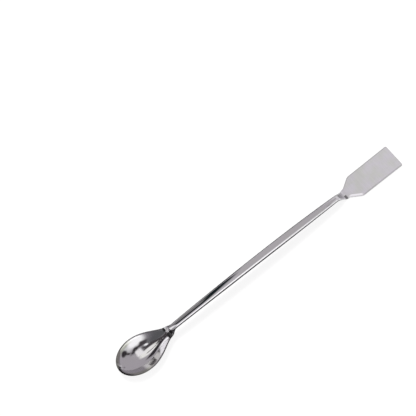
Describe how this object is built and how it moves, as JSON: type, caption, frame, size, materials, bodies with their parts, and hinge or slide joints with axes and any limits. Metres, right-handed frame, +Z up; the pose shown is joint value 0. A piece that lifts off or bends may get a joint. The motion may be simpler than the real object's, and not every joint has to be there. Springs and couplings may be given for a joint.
{
  "type": "laboratory spatula",
  "caption": "One-piece steel laboratory spatula: a deep egg-shaped spoon and a flat rectangular blade on one round rod that is thickest near its middle.",
  "frame": {"origin": "centre of the footprint, on the surface that the bowl and the blade rest on", "axes": "+X along the rod from the spoon to the blade, +Y across, +Z up out of the bowl"},
  "size_m": [0.22, 0.023, 0.0127],
  "materials": {
    "steel": "mirror-polished spoon and rod, satin blade"
  },
  "bodies": {
    "root": {"spatula": "steel"}
  },
  "joints": []
}
